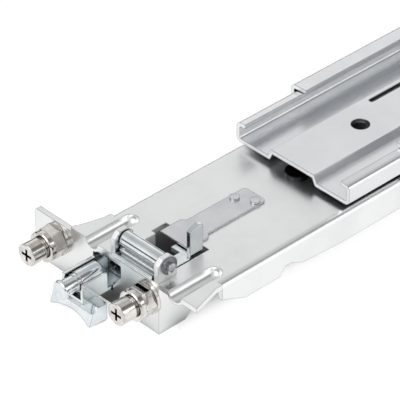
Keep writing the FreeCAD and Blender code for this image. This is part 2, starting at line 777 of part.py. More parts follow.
def rear_hook_spring():
    """Coil spring that lifts the tail, and the post that carries it."""
    post_radius = "coil_radius - wire_radius - run_gap"
    inside = "-ear_far - gauge"
    coil_length = "coil_turns * coil_pitch"
    post = Piece("rear_spring_post")
    shank = (draw_circle, ("spring_x", "spring_z"), post_radius)
    head = (draw_circle, ("spring_x", "spring_z"), "coil_radius + wire_radius")
    post.pad("XZ_Plane", f"{inside} - {coil_length} - wire_radius", "-ear_far", shank)
    post.pad("XZ_Plane", f"{inside} - {coil_length} - 3 * wire_radius",
             f"{inside} - {coil_length} - wire_radius", head)
    keep(post.body, "rear_spring_post")
    rings = []
    flat = "wire_radius / 2"
    tip = "wire_radius * sqrt(3) / 2"
    for order in range(SIZES["coil_turns"]):
        ring = Piece("coil_ring")
        ring.turn([
            ("coil_radius - wire_radius", "0"),
            (f"coil_radius - {flat}", tip),
            (f"coil_radius + {flat}", tip),
            ("coil_radius + wire_radius", "0"),
            (f"coil_radius + {flat}", "-" + tip),
            (f"coil_radius - {flat}", "-" + tip),
        ], "V_Axis")
        put(ring.body, x="spring_x", y=f"{inside} - ({order} + 0.5) * coil_pitch", z="spring_z")
        rings.append(ring.body)
    keep(group("rear_hook_spring", rings), "rear_hook_spring")


def rear_leaf():
    """Flat spring on the plate, with the pad over the tail of the lever, and its rivets."""
    piece = Piece("rear_leaf")
    outline = [
        ("leaf_pad_front", "leaf_shift - rail_offset - leaf_pad_half"),
        ("leaf_pad_back", "leaf_shift - rail_offset - leaf_pad_half"),
        ("leaf_pad_back + leaf_pad_half - leaf_half", "leaf_shift - rail_offset - leaf_half"),
        ("leaf_back", "leaf_shift - rail_offset - leaf_half"),
        ("leaf_back", "leaf_shift - rail_offset + leaf_half"),
        ("leaf_pad_back + leaf_pad_half - leaf_half", "leaf_shift - rail_offset + leaf_half"),
        ("leaf_pad_back", "leaf_shift - rail_offset + leaf_pad_half"),
        ("leaf_pad_front", "leaf_shift - rail_offset + leaf_pad_half"),
    ]
    made = piece.pad("XY_Plane", "plate_top", "plate_top + leaf_gauge", (draw_polygon, outline))
    piece.round_corners(made, (3, 4), "leaf_corner")
    rivets = []
    holes = []
    for place in LEAF_RIVETS:
        holes.append((draw_circle, place, "leaf_rivet_head / 2 + seat_gap"))
        rivet = Piece("leaf_rivet")
        leaf_top = "plate_top + leaf_gauge"
        rivet.pad("XY_Plane", PLATE_BOTTOM, leaf_top, (draw_circle, place, "leaf_rivet_head / 2"))
        rivet.pad("XY_Plane", leaf_top, leaf_top + " + leaf_rivet_rise",
                  (draw_circle, place, "leaf_rivet_head"))
        rivets.append(rivet.body)
    piece.pocket("XY_Plane", "plate_top", "plate_top + leaf_gauge", *holes)
    keep(piece.body, "rear_leaf")
    keep(group("rear_leaf_rivets", rivets), "rear_leaf_rivets")


# Rails: three nested channels. Each outline is drawn across the rail and padded along it.

OUTER_BASE = "plate_top + plate_gap"
MIDDLE_BASE = OUTER_BASE + " + rail_gauge + rail_gap"
INNER_BASE = MIDDLE_BASE + " + rail_gauge + gap"
OUTER_RACE = "outer_half - rail_gauge"
MIDDLE_HALF = OUTER_RACE + " - rail_gap"
INNER_RACE = MIDDLE_HALF + " - rail_gauge"
INNER_HALF = INNER_RACE + " - 2 * inner_ball_radius - 2 * rail_gap"
INNER_TOP = OUTER_BASE + " + outer_rise + outer_lip_rise + server_gap"


def wall_points(half, base, rise, lip, lip_rise, sheet_gauge, side):
    """Outside and inside points of one wall with its lip, from the web to the lip's edge."""
    foot = f"-rail_offset {side} ({half})"
    inward = "+" if side == "-" else "-"
    top = f"{base} + {rise}"
    outside = [
        (foot, base),
        (foot, top),
        (f"{foot} {inward} {lip}", f"{top} + {lip_rise}"),
    ]
    inside = [
        (f"{foot} {inward} {lip}", f"{top} + {lip_rise} - {sheet_gauge}"),
        (f"{foot} {inward} {sheet_gauge}", f"{top} - {sheet_gauge}"),
        (f"{foot} {inward} {sheet_gauge}", f"{base} + {sheet_gauge}"),
    ]
    return outside, inside


def from_middle(side, points):
    """Points of a profile on one side of the rail's centre line."""
    return [(f"-rail_offset {side} ({across})", up) for across, up in points]


def outer_rail():
    """Outer channel with wide curled lips, carried on the bracket plates."""
    piece = Piece("outer_rail")
    sizes = ("outer_half", OUTER_BASE, "outer_rise", "outer_lip", "outer_lip_rise", "rail_gauge")
    near_out, near_in = wall_points(*sizes, "-")
    far_out, far_in = wall_points(*sizes, "+")
    outline = near_out + near_in + far_in[::-1] + far_out[::-1]
    made = piece.pad("YZ_Plane", "outer_start", "rail_span - outer_setback", (draw_polygon, outline))
    made = piece.round_corners(made, (4, 5, 6, 7), "inner_bend")
    piece.round_corners(made, (0, 1, 10, 11), "inner_bend + rail_gauge")
    holes = []
    for order in range(2):
        holes.append((draw_circle, (f"guide_first + {order} * guide_pitch", "-rail_offset"),
                      "slot_radius - gap / 2 - gap"))
        holes.append((draw_circle, (f"rail_span - front_rivet_first - {order} * front_rivet_pitch",
                                    "-rail_offset"), "shank_radius + seat_gap"))
    piece.pocket("XY_Plane", OUTER_BASE, OUTER_BASE + " + rail_gauge", *holes)
    keep(piece.body, "outer_rail")


def middle_rail():
    """Middle channel with its raised centre, which runs inside the lips of the outer one."""
    piece = Piece("middle_rail")
    sizes = (MIDDLE_HALF, MIDDLE_BASE, "middle_rise", "middle_lip", "middle_lip_rise", "rail_gauge")
    near_out, near_in = wall_points(*sizes, "-")
    far_out, far_in = wall_points(*sizes, "+")
    slant = "rail_gauge / 2"
    floor_top = MIDDLE_BASE + " + rail_gauge"
    ridge_top = [
        ("-rail_offset - plateau_foot", floor_top),
        ("-rail_offset - plateau_half", floor_top + " + plateau_rise"),
        ("-rail_offset + plateau_half", floor_top + " + plateau_rise"),
        ("-rail_offset + plateau_foot", floor_top),
    ]
    ridge_under = [
        (f"-rail_offset + plateau_foot - {slant}", MIDDLE_BASE),
        (f"-rail_offset + plateau_half - {slant}", MIDDLE_BASE + " + plateau_rise"),
        (f"-rail_offset - plateau_half + {slant}", MIDDLE_BASE + " + plateau_rise"),
        (f"-rail_offset - plateau_foot + {slant}", MIDDLE_BASE),
    ]
    outline = near_out + near_in + ridge_top + far_in[::-1] + far_out[::-1] + ridge_under
    made = piece.pad("YZ_Plane", "middle_start", "rail_span - middle_setback", (draw_polygon, outline))
    made = piece.round_corners(made, (4, 5, 10, 11), "inner_bend")
    piece.round_corners(made, (0, 1, 14, 15), "inner_bend + rail_gauge")
    hole = (draw_circle, ("middle_hole_x", "-rail_offset"), "middle_hole_radius")
    rivet_spot = ("inner_start - gap - buffer_length / 2", "-rail_offset")
    rivet = (draw_circle, rivet_spot, "shank_radius + seat_gap")
    ridge = (MIDDLE_BASE + " + plateau_rise", floor_top + " + plateau_rise")
    piece.pocket("XY_Plane", *ridge, hole, rivet)
    piece.cut_slot(*ridge, "slit_start", "slit_start + slit_length",
                   "-rail_offset + slit_shift", "slit_radius")
    keep(piece.body, "middle_rail")


def inner_rail():
    """Inner channel that is fixed to the server, with a row of keyholes."""
    piece = Piece("inner_rail")
    base = INNER_BASE
    top = INNER_TOP
    half = INNER_HALF
    neck = "outer_half - outer_lip - gap"
    shoulder = base + " + inner_shoulder"
    ledge = shoulder + " + inner_slope"
    outside = [(half, base), (half, shoulder), (neck, ledge), (neck, top)]
    inside = [
        (half + " - rail_gauge", base),
        (half + " - rail_gauge", shoulder + " - rail_gauge / 2"),
        (neck + " - rail_gauge", ledge + " - rail_gauge / 2"),
        (neck + " - rail_gauge", top + " - rail_gauge"),
    ]
    outline = from_middle("-", outside) + from_middle("+", outside[::-1])
    outline += from_middle("+", inside) + from_middle("-", inside[::-1])
    made = piece.pad("YZ_Plane", "inner_start", "rail_span - inner_setback", (draw_polygon, outline))
    made = piece.round_corners(made, (11, 12), "inner_bend")
    piece.round_corners(made, (3, 4), "inner_bend + rail_gauge")
    for order in range(3):
        at = f"keyhole_first + {order} * keyhole_pitch"
        piece.cut_slot(top + " - rail_gauge", top, at, at + " + keyhole_neck_length",
                       "-rail_offset", "keyhole_neck")
        piece.pocket("XY_Plane", top + " - rail_gauge", top,
                     (draw_circle, (at, "-rail_offset"), "keyhole_radius"))
    pivot = (draw_circle, ("rail_span - release_setback", "-rail_offset"), "release_rivet_radius + seat_gap")
    piece.pocket("XY_Plane", top + " - rail_gauge", top, pivot)
    keep(piece.body, "inner_rail")


def race_ball(name, x, y, z, radius):
    """One ball of a race, turned from half an octagon to keep its faces few."""
    ball = Piece(name)
    slant = f"{radius} / sqrt(2)"
    ball.turn([
        (f"-{radius}", "0"),
        (f"-{slant}", slant),
        ("0", radius),
        (slant, slant),
        (radius, "0"),
    ])
    put(ball.body, x=x, y=y, z=z)
    return ball.body


def ball_race(name, count, first, pitch, middle, level, radius, cage_half):
    """Two strips with their rows of balls, one along each wall of a channel."""
    balls = []
    holes = []
    for order in range(count):
        at = f"{first} + {order} * {pitch}"
        balls.append(race_ball(name + "_ball", at, middle, level, radius))
        holes.append((draw_circle, (at, level), radius + " + run_gap"))
    strip = Piece(name + "_cage_far")
    low = f"{middle} - cage_gauge / 2"
    high = f"{middle} + cage_gauge / 2"
    outline = rectangle(
        (f"{first} - cage_overrun", f"{level} - {cage_half}"),
        (f"{first} + {count - 1} * {pitch} + cage_overrun", f"{level} + {cage_half}"),
    )
    strip.pad("XZ_Plane", low, high, outline)
    strip.pocket("XZ_Plane", low, high, *holes)
    keep(strip.body, name + "_cage_far")
    keep(mirrored(strip.body, "y", "-rail_offset"), name + "_cage_near")
    row = group(name + "_row", balls)
    keep(group(name + "_balls", [row, mirrored(row, "y", "-rail_offset")]), name + "_balls")


def rivets():
    """Shoulder rivets in the slots, fixed rivets of the front bracket, and the stop rivet."""
    guides = []
    fixed = []
    rail_top = OUTER_BASE + " + rail_gauge"
    for order in range(2):
        at = (f"guide_first + {order} * guide_pitch", "-rail_offset")
        guide = Piece("guide_rivet")
        head_top = "plate_top - gauge - gap"
        guide.pad("XY_Plane", head_top + " - guide_head", head_top, (draw_circle, at, "guide_head_radius"))
        guide.pad("XY_Plane", head_top, "plate_top", (draw_circle, at, "slot_radius - gap / 2"))
        guide.pad("XY_Plane", "plate_top", rail_top,
                  (draw_circle, at, "slot_radius - gap / 2 - gap - seat_gap"))
        guide.pad("XY_Plane", rail_top, rail_top + " + dome_rise", (draw_circle, at, "dome_radius"))
        guides.append(guide.body)
        place = (f"rail_span - front_rivet_first - {order} * front_rivet_pitch", "-rail_offset")
        rivet = Piece("front_rivet")
        rivet.pad("XY_Plane", PLATE_BOTTOM + " - dome_rise", PLATE_BOTTOM,
                  (draw_circle, place, "dome_radius"))
        rivet.pad("XY_Plane", PLATE_BOTTOM, rail_top, (draw_circle, place, "shank_radius"))
        rivet.pad("XY_Plane", rail_top, rail_top + " + dome_rise", (draw_circle, place, "dome_radius"))
        fixed.append(rivet.body)
    keep(group("guide_rivets", guides), "guide_rivets")
    keep(group("front_rivets", fixed), "front_rivets")
    stop = Piece("rear_stop_rivet")
    spot = ("stop_rivet_x", "-rail_offset")
    stop.pad("XY_Plane", PLATE_BOTTOM, "plate_top", (draw_circle, spot, "shank_radius"))
    stop.pad("XY_Plane", "plate_top", "plate_top + dome_rise", (draw_circle, spot, "dome_radius"))
    keep(stop.body, "rear_stop_rivet")


def retract_buffer():
    """Stop block on the raised centre of the middle channel, and its rivet."""
    ridge = MIDDLE_BASE + " + rail_gauge + plateau_rise"
    block_top = INNER_TOP + " - gap - buffer_rivet_rise"
    back = "inner_start - gap"
    piece = Piece("retract_buffer")
    block = rectangle((back + " - buffer_length", "-rail_offset - buffer_half"),
                      (back, "-rail_offset + buffer_half"))
    made = piece.pad("XY_Plane", ridge, block_top, block)
    piece.round_corners(made, (0, 1, 2, 3), "bend_radius / 2")
    spot = (back + " - buffer_length / 2", "-rail_offset")
    piece.pocket("XY_Plane", ridge, block_top, (draw_circle, spot, "shank_radius + seat_gap"))
    keep(piece.body, "retract_buffer")
    rivet = Piece("buffer_rivet")
    rivet.pad("XY_Plane", ridge + " - rail_gauge", block_top,
              (draw_circle, spot, "shank_radius"))
    rivet.pad("XY_Plane", block_top, block_top + " + buffer_rivet_rise",
              (draw_circle, spot, "buffer_rivet_head"))
    keep(rivet.body, "buffer_rivet")


def release_lever():
    """Flat catch under the web of the inner channel, which swings on a rivet."""
    under = INNER_TOP + " - rail_gauge"
    top = under + " - gap"
    bottom = top + " - release_gauge"
    piece = Piece("release_lever")
    outline = [
        ("rail_span - release_setback - release_back", "-rail_offset - release_half / 2"),
        ("rail_span - release_setback + release_front", "-rail_offset - release_half"),
        ("rail_span - release_setback + release_front", "-rail_offset + release_half"),
        ("rail_span - release_setback - release_back + release_tab", "-rail_offset + release_half"),
        ("rail_span - release_setback - release_back + release_tab",
         "-rail_offset + release_half + release_tab_half"),
        ("rail_span - release_setback - release_back", "-rail_offset + release_half + release_tab_half"),
    ]
    piece.pad("XY_Plane", bottom, top, (draw_polygon, outline))
    spot = ("rail_span - release_setback", "-rail_offset")
    piece.pocket("XY_Plane", bottom, top, (draw_circle, spot, "release_rivet_radius + run_gap"))
    keep(piece.body, "release_lever")
    rivet = Piece("lever_rivet")
    head_top = bottom + " - run_gap"
    rivet.pad("XY_Plane", head_top + " - release_rivet_rise", head_top,
              (draw_circle, spot, "release_rivet_head"))
    rivet.pad("XY_Plane", head_top, under + " + rail_gauge", (draw_circle, spot, "release_rivet_radius"))
    keep(rivet.body, "lever_rivet")


def front_latch():
    """Flat claw under the front web, which swings on a rivet and reaches through the flange."""
    top = "plate_top - gauge - gap"
    bottom = top + " - latch_gauge"
    middle = "-rail_offset + latch_y"
    piece = Piece("front_latch")
    outline = [
        ("rail_span - latch_x - latch_tail", f"{middle} - latch_half"),
        ("rail_span + latch_reach", f"{middle} - latch_half"),
        ("rail_span + latch_reach", f"{middle} - latch_half - latch_claw / 2"),
        ("rail_span + latch_reach + latch_claw_run", f"{middle} - latch_half"),
        ("rail_span + latch_reach + latch_claw_run", f"{middle} + latch_half"),
        ("rail_span - latch_x - latch_tail", f"{middle} + latch_half"),
    ]
    piece.pad("XY_Plane", bottom, top, (draw_polygon, outline))
    spot = ("rail_span - latch_x", middle)
    piece.pocket("XY_Plane", bottom, top, (draw_circle, spot, "latch_rivet_radius + run_gap"))
    keep(piece.body, "front_latch")
    rivet = Piece("front_latch_rivet")
    head_top = bottom + " - run_gap"
    rivet.pad("XY_Plane", head_top + " - guide_head", head_top, (draw_circle, spot, "latch_rivet_head"))
    rivet.pad("XY_Plane", head_top, "plate_top", (draw_circle, spot, "latch_rivet_radius"))
    keep(rivet.body, "front_latch_rivet")


rear_bracket()
front_bracket()
fasteners()
rear_hook()
rear_clamp_screw()
rear_hook_pin()
rear_hook_spring()
rear_leaf()
outer_rail()
middle_rail()
inner_rail()
ball_race("inner", INNER_BALLS, "inner_ball_first", "inner_ball_pitch",
          f"-rail_offset + {INNER_RACE} - rail_gap - inner_ball_radius",
          INNER_BASE + " + inner_cage_half", "inner_ball_radius", "inner_cage_half")
rivets()
retract_buffer()
release_lever()
front_latch()
doc.recompute()

for thing in doc.Objects:
    if "Invalid" in thing.State or "Error" in thing.State:
        raise ValueError(f"{thing.Label} failed: {thing.State}")
for label, solid in nodes.items():
    if solid.Shape.isNull() or not solid.Shape.isValid():
        raise ValueError(f"{label} has no valid shape")

os.makedirs("parts", exist_ok=True)
for label, solid in nodes.items():
    solid.Shape.exportStep(os.path.join("parts", label + ".step"))
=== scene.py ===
"""Studio picture of one sliding server rail, seen at its rear end."""

from __future__ import annotations

import logging
import math
from dataclasses import dataclass, field
from enum import Enum
from typing import Any, ClassVar

import bmesh
import bpy
from mathutils import Matrix, Vector

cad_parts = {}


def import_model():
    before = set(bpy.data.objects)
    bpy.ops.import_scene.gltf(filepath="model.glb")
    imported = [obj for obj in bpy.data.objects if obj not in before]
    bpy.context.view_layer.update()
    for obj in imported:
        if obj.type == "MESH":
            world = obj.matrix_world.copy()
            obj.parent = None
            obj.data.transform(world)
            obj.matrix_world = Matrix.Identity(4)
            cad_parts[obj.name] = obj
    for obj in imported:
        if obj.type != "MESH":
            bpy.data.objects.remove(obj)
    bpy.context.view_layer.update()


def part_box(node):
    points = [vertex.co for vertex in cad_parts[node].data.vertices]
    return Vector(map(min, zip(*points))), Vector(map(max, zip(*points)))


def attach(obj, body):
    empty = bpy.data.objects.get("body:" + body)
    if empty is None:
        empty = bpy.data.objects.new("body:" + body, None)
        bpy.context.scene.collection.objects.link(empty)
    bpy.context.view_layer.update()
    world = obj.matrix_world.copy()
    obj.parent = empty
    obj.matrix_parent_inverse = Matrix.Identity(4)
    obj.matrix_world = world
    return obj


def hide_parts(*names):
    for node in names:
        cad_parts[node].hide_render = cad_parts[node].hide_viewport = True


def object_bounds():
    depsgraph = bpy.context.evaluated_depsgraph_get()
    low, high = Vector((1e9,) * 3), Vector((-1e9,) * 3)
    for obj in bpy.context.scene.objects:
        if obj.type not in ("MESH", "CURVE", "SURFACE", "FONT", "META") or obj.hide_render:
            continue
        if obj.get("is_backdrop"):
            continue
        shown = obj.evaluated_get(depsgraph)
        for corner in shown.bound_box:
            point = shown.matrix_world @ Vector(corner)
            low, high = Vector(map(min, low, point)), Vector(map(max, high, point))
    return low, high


LOG = logging.getLogger("server_rail")
MM = 0.001
PICTURE_WIDTH_PX = 400
SENSOR_WIDTH_MM = 36.0
WHITE = (1.0, 1.0, 1.0, 1.0)

# The sRGB curve: a straight toe with its slope, then a power of the offset value.
SRGB_TOE = 0.04045
SRGB_SLOPE = 12.92
SRGB_OFFSET = 0.055
SRGB_POWER = 2.4

Settings = dict[str | int, Any]
Links = dict[str | int, bpy.types.NodeSocket]


def srgb_to_linear(code: str) -> tuple[float, float, float, float]:
    """Turns an sRGB colour code into linear light.

    Args:
        code: Six hex digits after a hash sign.

    Returns:
        Red, green, blue and an alpha of one.
    """
    channels = [int(code[i : i + 2], 16) / 255 for i in (1, 3, 5)]
    linear = [
        c / SRGB_SLOPE if c <= SRGB_TOE else ((c + SRGB_OFFSET) / (1 + SRGB_OFFSET)) ** SRGB_POWER
        for c in channels
    ]
    return (*linear, 1.0)


def add_node(
    tree: bpy.types.NodeTree,
    kind: str,
    settings: Settings | None = None,
    links: Links | None = None,
) -> bpy.types.Node:
    """Adds one node with its settings and incoming links.

    Args:
        tree: Tree that gets the node.
        kind: Type of the node.
        settings: Values by the name or number of an input, or by the name of a property.
        links: Sockets of other nodes by the name or number of the input they feed.

    Returns:
        The new node.
    """
    node = tree.nodes.new(kind)
    for name, value in (settings or {}).items():
        if isinstance(name, int) or name in node.inputs:
            node.inputs[name].default_value = value
        else:
            setattr(node, name, value)
    for name, source in (links or {}).items():
        tree.links.new(source, node.inputs[name])
    return node


def combine(
    tree: bpy.types.NodeTree,
    operation: str,
    first: bpy.types.NodeSocket,
    second: bpy.types.NodeSocket,
) -> bpy.types.NodeSocket:
    """Joins two values by one step of arithmetic.

    Args:
        tree: Tree that gets the step.
        operation: Name of the step.
        first: First value.
        second: Second value.

    Returns:
        The result.
    """
    step = add_node(tree, "ShaderNodeMath", {"operation": operation}, {0: first, 1: second})
    return step.outputs[0]


def remap(
    tree: bpy.types.NodeTree,
    value: bpy.types.NodeSocket,
    given: tuple[float, float] = (0.0, 1.0),
    wanted: tuple[float, float] = (0.0, 1.0),
) -> bpy.types.NodeSocket:
    """Carries a value from one range over to another and holds it there.

    Args:
        tree: Tree that gets the step.
        value: Value to carry over.
        given: Range that the value comes in.
        wanted: Range that it leaves in.

    Returns:
        The value in its new range.
    """
    settings = {
        "From Min": given[0],
        "From Max": given[1],
        "To Min": wanted[0],
        "To Max": wanted[1],
    }
    return add_node(tree, "ShaderNodeMapRange", settings, {"Value": value}).outputs["Result"]


def noise(
    tree: bpy.types.NodeTree,
    place: bpy.types.NodeSocket,
    size_mm: float,
    octaves: float,
    roughness: float,
) -> bpy.types.NodeSocket:
    """Adds a random pattern whose features have a real size.

    Args:
        tree: Tree that gets the pattern.
        place: Position on the piece, in metres.
        size_mm: Size of one feature.
        octaves: Number of finer patterns laid over the first.
        roughness: Strength of each finer pattern.

    Returns:
        The pattern's value.
    """
    settings = {"Scale": 1 / (size_mm * MM), "Detail": octaves, "Roughness": roughness}
    return add_node(tree, "ShaderNodeTexNoise", settings, {"Vector": place}).outputs["Fac"]


def two_tones(
    tree: bpy.types.NodeTree,
    value: bpy.types.NodeSocket,
    tones: tuple[str, str],
    band: tuple[float, float] = (0.0, 1.0),
) -> bpy.types.NodeSocket:
    """Turns a value into a colour between two.

    Args:
        tree: Tree that gets the step.
        value: Value to colour.
        tones: Colour codes at the low and at the high end.
        band: Values at which the change begins and ends.

    Returns:
        The colour.
    """
    ramp = add_node(tree, "ShaderNodeValToRGB", {}, {"Fac": value})
    for stop, tone, position in zip(ramp.color_ramp.elements, tones, band):
        stop.position = position
        stop.color = srgb_to_linear(tone)
    return ramp.outputs["Color"]


def blend(
    tree: bpy.types.NodeTree,
    share: bpy.types.NodeSocket,
    first: bpy.types.Node,
    second: bpy.types.Node,
) -> bpy.types.NodeSocket:
    """Mixes two shaders.

    Args:
        tree: Tree that gets the mix.
        share: Share of the second shader.
        first: Shader that shows at a share of zero.
        second: Shader that shows at a share of one.

    Returns:
        The mixed shader.
    """
    links = {0: share, 1: first.outputs[0], 2: second.outputs[0]}
    return add_node(tree, "ShaderNodeMixShader", {}, links).outputs[0]


def seen_rays(tree: bpy.types.NodeTree) -> bpy.types.NodeSocket:
    """Tells the rays that see the surroundings from those that light the object.

    Args:
        tree: Tree that gets the test.

    Returns:
        One for camera and glossy rays, else zero.
    """
    path = add_node(tree, "ShaderNodeLightPath").outputs
    return combine(tree, "MAXIMUM", path["Is Camera Ray"], path["Is Glossy Ray"])


def empty_material(name: str) -> tuple[bpy.types.Material, bpy.types.NodeTree]:
    """Makes a material without any node.

    Args:
        name: Name of the material.

    Returns:
        The material and its tree.
    """
    material = bpy.data.materials.new(name)
    material.use_nodes = True
    material.node_tree.nodes.clear()
    return material, material.node_tree


class Grain(Enum):
    """Direction that a surface's fine marks follow, as the pattern's scale along x, y and z."""

    ROLLED = (0.06, 1.0, 1.0)
    TURNED = (1.0, 0.05, 0.05)
    TUMBLED = (1.0, 1.0, 1.0)


@dataclass(frozen=True)
class PlatedSteel:
    """Steel with a thin metal plating, satin and slightly cloudy.

    Attributes:
        name: Name of the finish.
        bright: Colour of the clean plating.
        dull: Colour of its duller clouds.
        cloud_mm: Size of the clouds.
        grain_mm: Width of the fine marks.
        grain: Direction of the marks.
        gloss: Lowest and highest roughness.
        relief_mm: Height of the marks.
        painted_crevice_shade_reach_mm: Reach of the painted shade that darkens the plating's
            colour in crevices and between pieces that lie close together.
        edge_mm: Radius of the broken edges.
        painted_edge_shade_level: Brightness of the painted shade on the broken edges, which draws
            dark outlines along them.
    """

    name: str
    bright: str
    dull: str
    cloud_mm: float
    grain_mm: float
    grain: Grain
    gloss: tuple[float, float]
    relief_mm: float = 0.004
    painted_crevice_shade_reach_mm: float = 5.0
    edge_mm: float = 0.3
    painted_edge_shade_level: float = 0.35

    # Octaves and roughness of the patterns of the clouds and of the marks.
    CLOUD_PATTERN: ClassVar[tuple[float, float]] = (4.0, 0.55)
    MARK_PATTERN: ClassVar[tuple[float, float]] = (2.0, 0.6)
    # Values of each pattern between which the surface changes.
    CLOUD_BAND: ClassVar[tuple[float, float]] = (0.36, 0.62)
    MARK_BAND: ClassVar[tuple[float, float]] = (0.3, 0.7)
    RELIEF_STRENGTH: ClassVar[float] = 0.35
    # Cosine of the turn on a broken edge where its painted shade is darkest, and where the face
    # begins.
    PAINTED_EDGE_SHADE_BAND: ClassVar[tuple[float, float]] = (0.8, 0.98)
    # Open share of the surroundings where the painted shade in a crevice is black, and where the
    # face begins.
    PAINTED_CREVICE_SHADE_BAND: ClassVar[tuple[float, float]] = (0.12, 0.5)
    SAMPLES: ClassVar[int] = 6

    def build(self) -> bpy.types.Material:
        """Makes the material with its clouds, marks and relief, with painted shade on its edges
        and in crevices.
        """
        material, tree = empty_material(self.name)
        place = add_node(tree, "ShaderNodeTexCoord").outputs["Object"]
        clouds = noise(tree, place, self.cloud_mm, *self.CLOUD_PATTERN)
        colour = two_tones(tree, clouds, (self.dull, self.bright), self.CLOUD_BAND)
        stretch = add_node(
            tree, "ShaderNodeMapping", {"Scale": self.grain.value}, {"Vector": place}
        )
        marks = noise(tree, stretch.outputs["Vector"], self.grain_mm, *self.MARK_PATTERN)
        rounded = add_node(
            tree, "ShaderNodeBevel", {"samples": self.SAMPLES, "Radius": self.edge_mm * MM}
        )
        relief = add_node(
            tree,
            "ShaderNodeBump",
            {"Strength": self.RELIEF_STRENGTH, "Distance": self.relief_mm * MM},
            {"Height": marks, "Normal": rounded.outputs["Normal"]},
        )
        # The painted shade of broken edges and crevices darkens the plating's colour.
        colour_with_painted_shade = add_node(
            tree,
            "ShaderNodeVectorMath",
            {"operation": "SCALE"},
            {0: colour, "Scale": self.level(tree, rounded.outputs["Normal"])},
        )
        shader = add_node(
            tree,
            "ShaderNodeBsdfPrincipled",
            {"Metallic": 1.0},
            {
                "Base Color": colour_with_painted_shade.outputs["Vector"],
                "Roughness": remap(tree, marks, self.MARK_BAND, self.gloss),
                "Normal": relief.outputs["Normal"],
            },
        )
        add_node(tree, "ShaderNodeOutputMaterial", {}, {"Surface": shader.outputs["BSDF"]})
        return material

    def level(
        self, tree: bpy.types.NodeTree, rounded: bpy.types.NodeSocket
    ) -> bpy.types.NodeSocket:
        """Paints shade into the plating's colour on broken edges and in crevices.

        Args:
            tree: Tree that gets the steps.
            rounded: Normal that turns over the broken edges.

        Returns:
            Brightness that the painted shade leaves in the plating's colour, one on an open face.
        """
        # Where the rounded normal turns from the face, painted shade draws a dark outline on the
        # edge.
        face = add_node(tree, "ShaderNodeNewGeometry")
        turn = add_node(
            tree,
            "ShaderNodeVectorMath",
            {"operation": "DOT_PRODUCT"},
            {0: rounded, 1: face.outputs["Normal"]},
        )
        edge = remap(tree, turn.outputs["Value"], self.PAINTED_EDGE_SHADE_BAND, (self.painted_edge_shade_level, 1.0))
        # Ambient occlusion paints shade into crevices and between pieces that lie close together.
        painted_shade_occlusion = add_node(
            tree,
            "ShaderNodeAmbientOcclusion",
            {"Distance": self.painted_crevice_shade_reach_mm * MM, "samples": self.SAMPLES},
        )
        share_outside_painted_shade = remap(tree, painted_shade_occlusion.outputs["AO"], self.PAINTED_CREVICE_SHADE_BAND)
        return combine(tree, "MULTIPLY", share_outside_painted_shade, edge)


@dataclass(frozen=True)
class MouldedPlastic:
    """Dark moulded plastic with a fine spark-eroded texture.

    Attributes:
        name: Name of the finish.
        colour: Colour of the plastic.
        paler: Colour where the texture catches the light.
        texture_mm: Size of the texture's grains.
        relief_mm: Height of the grains.
        gloss: Roughness of the surface.
        index: Refractive index of the plastic.
    """

    name: str
    colour: str
    paler: str
    texture_mm: float
    relief_mm: float = 0.02
    gloss: float = 0.55
    index: float = 1.49

    # Octaves and roughness of the pattern of the grains.
    TEXTURE_PATTERN: ClassVar[tuple[float, float]] = (3.0, 0.5)
    RELIEF_STRENGTH: ClassVar[float] = 0.5

    def build(self) -> bpy.types.Material:
        """Makes the material with its moulded texture."""
        material, tree = empty_material(self.name)
        place = add_node(tree, "ShaderNodeTexCoord").outputs["Object"]
        grains = noise(tree, place, self.texture_mm, *self.TEXTURE_PATTERN)
        relief = add_node(
            tree,
            "ShaderNodeBump",
            {"Strength": self.RELIEF_STRENGTH, "Distance": self.relief_mm * MM},
            {"Height": grains},
        )
        shader = add_node(
            tree,
            "ShaderNodeBsdfPrincipled",
            {"Roughness": self.gloss, "IOR": self.index},
            {
                "Base Color": two_tones(tree, grains, (self.colour, self.paler)),
                "Normal": relief.outputs["Normal"],
            },
        )
        add_node(tree, "ShaderNodeOutputMaterial", {}, {"Surface": shader.outputs["BSDF"]})
        return material


